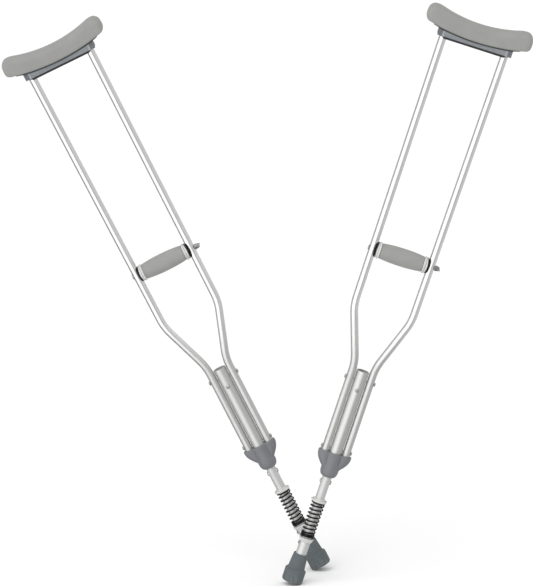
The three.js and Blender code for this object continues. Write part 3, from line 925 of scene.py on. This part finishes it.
def centre_tube(crutch):
    """Tube between the uprights, open at the top, with its rivet holes."""
    low, high = crutch.span("centre_tube")
    radius = crutch.radius("centre_tube")
    path = straight_path({low.z, high.z, *(low.z + 0.025 * k for k in range(1, 9))})
    tube = tube_along(path, radius, radius - WALL)
    drills = [along_front(rod(RIVET_HOLE_RADIUS, 0.006, 0.016), crutch.height("guide_rivet"))]
    drills += [drill(RIVET_HOLE_RADIUS, 0, z) for z in rivet_heights(crutch)]
    return bored(piece(crutch, "centre_tube", cut(tube, drills)), crutch, radius - WALL + 0.0002)


def guide_rivet(crutch):
    """The rivet on the front of the centre tube."""
    low, high = crutch.span("guide_rivet")
    shape = dict(head=0.0021, shoulder=(0.8, 0.66), crown=(0.45, 0.95), dimple=0.0011, depth=0.0014)
    solid = blind_rivet(0.0019, (high.x - low.x) / 2, -high.y, -low.y, **shape)
    return piece(crutch, "guide_rivet", along_front(solid, crutch.height("guide_rivet")))


def collar(crutch):
    """Moulded collar: a round nose that grows a shoulder for each upright, bored for all the tubes."""
    low, high = crutch.span("collar")
    nose = 0.0182
    depth = 0.0122
    shoulder_start = low.z + 0.0185
    wide = high.x
    crease_depth = 0.0011
    crease_width = 0.0010
    crease_fade = 0.006
    power = 24

    def half_width(z):
        share = min(max((z - shoulder_start) / (high.z - 0.004 - shoulder_start), 0), 1)
        eased = math.sin(math.pi / 2 * share) ** 0.95
        return nose + (wide - nose) * eased

    def reach(angle, z, inset):
        """Distance from the axis: the larger of the round nose and the flat shoulders, less a crease."""
        half = half_width(z) - inset
        c, s = abs(math.cos(angle)), abs(math.sin(angle))
        thick = depth - inset
        centre = max(half - thick, 0)
        if s * centre > c * thick:
            flat = thick / s
        else:
            flat = centre * c + math.sqrt(max(thick ** 2 - (centre * s) ** 2, 0))
        round_part = nose - inset
        if z < shoulder_start:
            return round_part
        crease = crease_depth * math.exp(-((round_part - flat) / crease_width) ** 2)
        crease *= min((z - shoulder_start) / crease_fade, 1)
        return (round_part ** power + flat ** power) ** (1 / power) - crease

    sides = 144
    levels = []
    nose_height = 0.0135
    nose_inset = 0.0080
    for k in range(11):
        angle = math.radians(90 * k / 10)
        levels.append((low.z + nose_height * (1 - math.cos(angle)), nose_inset * (1 - math.sin(angle))))
    steps = 22
    top_edge = 0.0016
    start = low.z + nose_height
    end = high.z - top_edge
    levels += [(start + (end - start) * k / steps, 0.0) for k in range(1, steps + 1)]
    for k in range(1, 5):
        angle = math.radians(90 * k / 4)
        levels.append((end + top_edge * math.sin(angle), top_edge * (1 - math.cos(angle))))
    rings = []
    for z, inset in levels:
        angles = [TURN * k / sides for k in range(sides)]
        reaches = [reach(a, z, inset) for a in angles]
        rings.append([(r * math.cos(a), r * math.sin(a), z) for r, a in zip(reaches, angles)])
    body = skinned(rings)

    def socket(radius, bottom, x=0.0):
        return shifted(rod(radius + GAP, bottom, high.z + 0.002, TUBE_SIDES), x)

    centre_low = crutch.span("centre_tube")[0].z
    upright_low = crutch.span("inner_upright")[0].z
    upright_x, upright_radius = crutch.tube_end("inner_upright", top=False)
    body = cut(body, [rod(crutch.radius("leg_tube") + GAP, low.z - 0.002, high.z, TUBE_SIDES)])
    body = cut(body, [socket(crutch.radius("centre_tube"), centre_low - GAP)])
    body = cut(body, [socket(upright_radius, upright_low - GAP, x) for x in (-upright_x, upright_x)])
    return piece(crutch, "collar", body, sharp=40)


# ---------------------------------------------------------------- handgrip
def grip_foam(crutch):
    """Foam sleeve: a barrel with softly rolled ends."""
    low, high = crutch.span("grip_foam")
    half = (high.x - low.x) / 2
    middle = (high.z - low.z) / 2
    end = middle - 0.0030
    barrel = 2.2
    bore = crutch.slice("grip_core", 0, crutch.span("grip_core")[0].x)[1].z - crutch.grip.z + GAP
    steps = 40
    crown = []
    for k in range(steps + 1):
        share = 2 * k / steps - 1
        crown.append((end + (middle - end) * (1 - abs(share) ** barrel), share * half))
    solid = at_grip(crutch, turned_ring([(bore, -half), *crown, (bore, half)], 0.0022, 5, 72))
    return piece(crutch, "grip_foam", solid, sharp=60)


def grip_core(crutch):
    """Plastic tube inside the foam."""
    low, high = crutch.span("grip_core")
    half = (high.x - low.x) / 2
    solid = sleeve(crutch.half_height("grip_core"), BOLT_HOLE_RADIUS + GAP, -half, half, 48)
    return piece(crutch, "grip_core", at_grip(crutch, solid))


def grip_flange(crutch, name, side):
    """End flange of the handgrip: a groove next to the foam and a rolled rim."""
    node = f"{name}_grip_flange"
    near, far = crutch.reach(node)
    rim = crutch.half_height(node) + 0.0006
    bore = BOLT_HOLE_RADIUS + GAP
    outline = [
        (bore, near),
        (rim - 0.0026, near),
        (rim - 0.0026, near + 0.0010),
        (rim - 0.0002, near + 0.0010),
        (rim, near + 0.0016),
        (rim, near + 0.0026),
        (rim - 0.0012, far - 0.0006),
        (rim - 0.0018, far),
        (bore, far),
    ]
    solid = at_grip(crutch, turned_ring(outline, 0.0008, 4, 64))
    return piece(crutch, node, mirrored(solid, side))


def saddled(bm, radius, flat=None):
    """Bends a disc on the X axis outwards to front and rear; its face at the place flat stays."""
    outer = max(v.co.x for v in bm.verts)
    for v in bm.verts:
        share = 1 if flat is None else (v.co.x - flat) / (outer - flat)
        v.co.x += WASHER_SAG * (v.co.y / radius) ** 2 * share
    return bm


def grip_washer(crutch, name, side):
    """Washer curved round the upright: a black facing on a pale backing with a flat inner face."""
    node = f"{name}_grip_washer"
    near, far = crutch.reach(node)
    radius = crutch.half_height(node)
    bore = BOLT_HOLE_RADIUS + GAP
    joint = far - WASHER_FACING
    facing = at_grip(crutch, sleeve(radius, bore, joint, far, 64))
    backing = at_grip(crutch, sleeve(radius, bore, near, joint - 0.0001, 64))
    piece(crutch, node, mirrored(saddled(facing, radius), side))
    flat_backed = mirrored(saddled(backing, radius, near), side)
    piece(crutch, node, flat_backed, suffix="backing", finish="pale_plastic")


def grip_bolt(crutch):
    """Long bolt with a low slotted head and a thread under the wing nut."""
    low, high = crutch.span("grip_bolt")
    nut = crutch.span("wing_nut")[0].x
    shank = BOLT_HOLE_RADIUS - 0.0001
    head = low.x + 0.0014
    crown = head - 0.0009
    outline = [
        (0, crown),
        (0.0040, crown + 0.0002),
        (0.0055, head - 0.0002),
        (0.0055, head),
        (shank, head),
        (shank, nut - 0.001),
    ]
    pitch = 0.001
    count = int((high.x - nut) / pitch)
    for k in range(count):
        base = nut - 0.0005 + k * pitch
        outline += [(shank - 0.0005, base), (shank, base + pitch / 2)]
    outline += [(shank - 0.0006, high.x), (0, high.x)]
    solid = at_grip(crutch, turned(outline, SMALL_SIDES))
    slot = rectangle(-0.0005, -0.007, 0.0005, 0.007)
    blade = shifted(extruded(slot, 0.0005, 0), crown, 0, crutch.grip.z)
    return piece(crutch, "grip_bolt", cut(solid, [blade]))


def wing_nut(crutch):
    """Wing nut: a tapered hub with two rounded wings, pressed to front and rear at rest."""
    low, high = crutch.span("wing_nut")
    length = high.x - low.x
    bore = BOLT_HOLE_RADIUS + 0.0002
    hub = [
        (bore, 0),
        (0.0056, 0),
        (0.0056, 0.0020),
        (0.0046, 0.0070),
        (0.0044, 0.0080),
        (bore, 0.0080),
    ]
    wing = [
        (0.0036, 0.0010),
        (0.0080, 0.0014),
        (0.0118, 0.0040),
        (high.y, 0.0082),
        (0.0124, length - 0.0004),
        (0.0098, length),
        (0.0078, 0.0072),
        (0.0036, 0.0066),
    ]
    wings = []
    for turn in (90, 270):
        blade = extruded(softened(wing, 0.0022, 5, ring=True), 0.0012, 0.0007)
        wings.append(moved(blade, Matrix.Rotation(math.radians(turn), 4, "Z")))
    nut = joined(turned_ring(hub, 0.0006, 3, 40), wings)
    return piece(crutch, "wing_nut", along_x(nut, low.x, crutch.grip.z), sharp=45, finish="dull_steel")


# ---------------------------------------------------------------- leg and lock
def guide_tube(crutch):
    """Inner guide: narrow where the leg slides on it, widened at the top where it is riveted."""
    low, high = crutch.span("guide_tube")
    narrow = crutch.radius("leg_tube") - WALL - 2 * GAP
    wide = crutch.radius("guide_tube")
    neck = high.z - 0.030
    outline = [
        (narrow - WALL, low.z),
        (narrow, low.z),
        (narrow, neck - 0.004),
        (wide, neck + 0.004),
        (wide, high.z),
        (wide - WALL, high.z),
        (wide - WALL, neck + 0.004),
        (narrow - WALL, neck - 0.004),
    ]
    hole = drill(LOCK_HOLE_RADIUS, 0, crutch.height("inner_lock_button"))
    return piece(crutch, "guide_tube", cut(turned_ring(outline, 0.003, 4), [hole]))


def leg_tube(crutch):
    """The leg, with a pair of lock holes at every pitch of its travel and a hole for the foot pin."""
    low, high = crutch.span("leg_tube")
    radius = crutch.radius("leg_tube")
    pin_height = crutch.height("foot_pin")
    lock = crutch.height("inner_lock_button")
    holes = [lock + k * HOLE_PITCH for k in range(round(crutch.leg_travel / HOLE_PITCH) + 1)]
    reach = 0.007
    heights = {low.z, high.z, pin_height - reach, pin_height + reach}
    heights |= {z + step for z in holes for step in (-reach, reach)}
    heights |= {low.z + 0.02 * k for k in range(1, 9)}
    tube = tube_along(straight_path(heights), radius, radius - WALL)
    drills = [drill(LOCK_HOLE_RADIUS, 0, z) for z in holes]
    drills.append(drill(RIVET_HOLE_RADIUS, 0, pin_height))
    return piece(crutch, "leg_tube", cut(tube, drills), finish="satin_tube")


def lock_button(crutch, name, side):
    """Round lock button with a domed, slightly worn end."""
    node = f"{name}_lock_button"
    inner, tip = crutch.reach(node)
    radius = crutch.half_height(node)
    outline = [
        (0, inner),
        (radius, inner),
        (radius, tip - 0.0017),
        (radius * 0.72, tip - 0.0004),
        (0, tip),
    ]
    solid = turned(softened(outline, 0.0012, 5), SMALL_SIDES)
    return piece(crutch, node, mirrored(along_x(solid, 0, crutch.height(node)), side))


def lock_clip(crutch):
    """U-shaped strip behind the lock buttons, with one leaf for each button."""
    low, high = crutch.span("lock_clip")
    thickness = 0.0008
    leaf = high.x - thickness / 2
    bend = low.z + thickness / 2 + leaf
    strip = rectangle(-0.0025, -thickness / 2, 0.0025, thickness / 2)
    lock = crutch.height("inner_lock_button")
    for name, side in SIDES:
        path = []
        for k in range(10):
            angle = math.radians(90 * k / 9)
            path.append(Vector((side * leaf * math.sin(angle), 0, bend - leaf * math.cos(angle))))
        path += [Vector((side * leaf, 0, bend + (high.z - bend) * k / 12)) for k in range(1, 13)]
        solid = skinned(swept(path, [REAR] * len(path), softened(strip, 0.0002, 2, ring=True)))
        start = Vector((0, 0, bend))
        end = Vector((0, 0, lock - 0.005))
        bending(crutch, "lock_clip", solid, ("frame", f"{name}_button"), start, end, suffix=f"{name}_leaf")


# ---------------------------------------------------------------- shock absorber and foot
def upper_spring_seat(crutch):
    """Pale seat on the leg: a flange that the spring pushes on, with an upturned lip and a hub."""
    low, high = crutch.span("upper_spring_seat")
    bore = crutch.radius("leg_tube") + GAP
    rim = crutch.radius("upper_spring_seat")
    z = low.z
    outline = [
        (bore, z),
        (rim - 0.0014, z),
        (rim - 0.0002, z + 0.0014),
        (rim, z + 0.0038),
        (rim - 0.0010, z + 0.0048),
        (rim - 0.0020, z + 0.0040),
        (rim - 0.0028, z + 0.0024),
        (bore + 0.0021, z + 0.0026),
        (bore + 0.0013, high.z - 0.0004),
        (bore, high.z),
    ]
    return piece(crutch, "upper_spring_seat", turned_ring(outline, 0.0009, 4, 64))


def shock_spring(crutch):
    """Black coil spring: open turns between closed ends, with both ends ground flat."""
    low, high = crutch.span("shock_spring")
    wire = 0.0032
    ground = 0.0002
    dead_turns = 2.5
    active_turns = 8.0
    top_turns = 0.5
    radius = crutch.radius("shock_spring") - wire / 2
    bottom = low.z + wire / 2
    top = high.z - wire / 2
    dead_rise = dead_turns * (wire + GAP)
    per_turn = 36
    path = []
    outwards = []
    for k in range(round((dead_turns + active_turns + top_turns) * per_turn) + 1):
        turn = k / per_turn
        dead = min(turn, dead_turns) / dead_turns
        active = min(max(turn - dead_turns, 0) / active_turns, 1)
        height = bottom + dead_rise * dead + (top - bottom - dead_rise) * active
        angle = TURN * turn
        outwards.append(Vector((math.cos(angle), math.sin(angle), 0)))
        path.append(outwards[-1] * radius + UP * height)
    rings = swept(path, outwards, circle(wire / 2, 14))
    flat_low = low.z + ground
    flat_high = high.z - ground
    rings = [[(p.x, p.y, min(max(p.z, flat_low), flat_high)) for p in ring] for ring in rings]
    start = UP * (top - 0.002)
    end = UP * (bottom + dead_rise)
    return bending(crutch, "shock_spring", skinned(rings), ("leg", "foot"), start, end, sharp=60)


def lower_spring_seat(crutch):
    """Pale seat on the foot tube: a dished flange on a tapered sleeve."""
    low, high = crutch.span("lower_spring_seat")
    rim = crutch.radius("lower_spring_seat")
    bore = crutch.radius("foot_tube") + GAP
    throat = crutch.radius("leg_tube") + GAP
    tube_top = crutch.span("foot_tube")[1].z
    outline = [
        (throat, tube_top + GAP),
        (bore, tube_top + GAP),
        (bore, low.z),
        (bore + 0.0012, low.z),
        (bore + 0.0020, low.z + 0.0020),
        (rim - 0.0010, high.z - 0.0034),
        (rim, high.z - 0.0026),
        (rim, high.z - 0.0006),
        (rim - 0.0008, high.z),
        (throat, high.z),
    ]
    return piece(crutch, "lower_spring_seat", turned_ring(outline, 0.0007, 3, 64))


def foot_tube(crutch):
    """Lower tube that slides over the leg, with a slot each side for the foot pin."""
    low, high = crutch.span("foot_tube")
    radius = crutch.radius("foot_tube")
    pin_height = crutch.height("foot_pin")
    slot_low = pin_height - crutch.shock_travel
    heights = {low.z, high.z, slot_low - 0.006, pin_height + 0.006, (low.z + slot_low) / 2}
    tube = tube_along(straight_path(heights), radius, crutch.radius("leg_tube") + GAP)
    slot = []
    for centre, start in ((pin_height, 0), (slot_low, 180)):
        for k in range(13):
            angle = math.radians(start + 180 * k / 12)
            slot.append((PIN_SLOT_RADIUS * math.cos(angle), centre + PIN_SLOT_RADIUS * math.sin(angle)))
    cutter = moved(extruded(slot, 0.016, 0), Matrix.Rotation(math.pi / 2, 4, "Z"))
    return piece(crutch, "foot_tube", cut(tube, [cutter]), finish="satin_tube")


def foot_pin(crutch):
    """Pin through the leg, with its head outside the foot tube's slot."""
    low, high = crutch.span("foot_pin")
    head = crutch.half_height("foot_pin")
    shank = RIVET_HOLE_RADIUS - 0.0002
    face = low.x + 0.0019
    outline = [
        (0, low.x),
        (head * 0.6, low.x + 0.0002),
        (head, face - 0.0005),
        (head, face),
        (shank, face),
        (shank, high.x),
        (0, high.x),
    ]
    solid = turned(softened(outline, 0.0005, 3), SMALL_SIDES)
    return piece(crutch, "foot_pin", along_x(solid, 0, crutch.height("foot_pin")))


def rubber_tip(crutch):
    """Rubber tip: a stepped boot with rings round its foot and a grooved, dished tread."""
    low, high = crutch.span("rubber_tip")
    wide = crutch.radius("rubber_tip")
    tread = crutch.slice("rubber_tip", 2, low.z)[1].x
    bore = crutch.radius("foot_tube") + GAP
    socket_end = crutch.span("foot_tube")[0].z - GAP
    ridge = 0.0034
    depth = 0.0016
    under = [(0, low.z + 0.0020), (0.0030, low.z + 0.0020)]
    for k in range(4):
        inner = 0.0036 + k * 1.18 * ridge
        under += [
            (inner, low.z),
            (inner + 0.55 * ridge, low.z),
            (inner + 0.65 * ridge, low.z + depth),
            (inner + 1.08 * ridge, low.z + depth),
        ]
    under += [(tread - 0.0005, low.z), (tread, low.z + 0.0001)]
    wall = [(wide - 0.0003, low.z + 0.0026)]
    for z in (0.0062, 0.0098, 0.0134):
        wall += [
            (wide - 0.0001, z - 0.0006),
            (wide - 0.0007, z),
            (wide - 0.0001, z + 0.0006),
        ]
    wall += [
        (wide - 0.0001, CUP_HEIGHT - 0.0030),
        (wide - 0.0009, CUP_HEIGHT - 0.0008),
        (wide - 0.0037, CUP_HEIGHT),
        (wide - 0.0044, CUP_HEIGHT + 0.0036),
        (0.0152, high.z - 0.0083),
        (0.0148, high.z - 0.0044),
        (0.0144, high.z - 0.0008),
        (0.0136, high.z),
    ]
    inside = [(bore, high.z), (bore, socket_end), (0, socket_end)]
    outline = softened([*under, *wall, *inside], 0.0010, 3)
    return piece(crutch, "rubber_tip", turned(outline, 72), sharp=50)


def build(crutch):
    """Every piece of one crutch."""
    cushion(crutch)
    saddle(crutch)
    for name, side in SIDES:
        upright(crutch, name, side)
        frame_rivet(crutch, f"{name}_upper_rivet", side)
        frame_rivet(crutch, f"{name}_lower_rivet", side)
        grip_flange(crutch, name, side)
        grip_washer(crutch, name, side)
        lock_button(crutch, name, side)
    centre_tube(crutch)
    guide_rivet(crutch)
    collar(crutch)
    grip_foam(crutch)
    grip_core(crutch)
    grip_bolt(crutch)
    wing_nut(crutch)
    guide_tube(crutch)
    leg_tube(crutch)
    lock_clip(crutch)
    upper_spring_seat(crutch)
    shock_spring(crutch)
    lower_spring_seat(crutch)
    foot_tube(crutch)
    foot_pin(crutch)
    rubber_tip(crutch)


# ---------------------------------------------------------------- studio
def camera():
    """Long lens from the front and a little above; far off, as the photo's lines hardly converge."""
    distance = 28.0
    pitch = math.radians(13.505)
    lens_per_frame = 24.72
    aim = Vector((-0.0007, 0, 0.5824))
    data = bpy.data.cameras.new("camera")
    data.lens = data.sensor_width * lens_per_frame
    data.clip_end = 1000
    obj = bpy.data.objects.new("camera", data)
    obj.location = (aim.x, -distance, aim.z + distance * math.tan(pitch))
    obj.rotation_euler = (math.pi / 2 - pitch, 0, 0)
    bpy.context.scene.collection.objects.link(obj)
    bpy.context.scene.camera = obj


def toward(azimuth, elevation):
    """A direction from the object; azimuth 0 is the front and 90 the right."""
    a, e = math.radians(azimuth), math.radians(elevation)
    return (math.sin(a) * math.cos(e), -math.cos(a) * math.cos(e), math.sin(e))


def surround():
    """An even pale world with a bright panel at the front left and weaker ones round and above.

    Each panel is a direction, the angles from it where it starts and ends fading, and a brightness.
    """
    even = 0.36
    world = bpy.data.worlds.new("surround")
    world.use_nodes = True
    tree = world.node_tree
    direction = tree.nodes.new("ShaderNodeTexCoord").outputs["Generated"]
    total = even
    panels = (
        (toward(-34, -6), 30, 56, 1.25),
        (toward(98, 0), 48, 88, 0.34),
        (toward(-150, 10), 12, 40, 0.30),
        (toward(0, 90), 20, 80, 0.45),
    )
    for axis, inner, outer, level in panels:
        dot = add_node(tree, "ShaderNodeVectorMath", {0: direction, 1: axis}, operation="DOT_PRODUCT")
        fade = {
            "Value": dot.outputs["Value"],
            "From Min": math.cos(math.radians(outer)),
            "From Max": math.cos(math.radians(inner)),
            "To Max": level,
        }
        glow = add_node(tree, "ShaderNodeMapRange", fade, interpolation_type="SMOOTHSTEP")
        total = add_node(tree, "ShaderNodeMath", {0: total, 1: glow.outputs["Result"]}).outputs[0]
    background = tree.nodes["Background"]
    background.inputs["Color"].default_value = (1, 1, 1, 1)
    tree.links.new(total, background.inputs["Strength"])
    bpy.context.scene.world = world


def lights():
    """A soft sun from the front left over the even surround."""
    surround()
    data = bpy.data.lights.new("key", "SUN")
    data.energy = 1.1
    data.angle = math.radians(50)
    obj = bpy.data.objects.new("key", data)
    obj.rotation_euler = (-Vector(toward(-28, 52))).to_track_quat("-Z", "Y").to_euler()
    bpy.context.scene.collection.objects.link(obj)


def floor():
    """A wide plain pale floor, which reflections don't see."""
    half = 300
    bm = bmesh.new()
    corners = [(-half, -half, 0), (half, -half, 0), (half, half, 0), (-half, half, 0)]
    bm.faces.new([bm.verts.new(c) for c in corners])
    obj = as_object(bm, "floor")
    material = bpy.data.materials.new("floor")
    material.use_nodes = True
    shader = material.node_tree.nodes["Principled BSDF"]
    shader.inputs["Base Color"].default_value = (0.93, 0.93, 0.93, 1)
    shader.inputs["Roughness"].default_value = 0.9
    obj.data.materials.append(material)
    obj.visible_glossy = False


camera()
lights()
floor()
bpy.context.scene.view_settings.view_transform = "Standard"
for each_crutch in CRUTCHES:
    build(each_crutch)
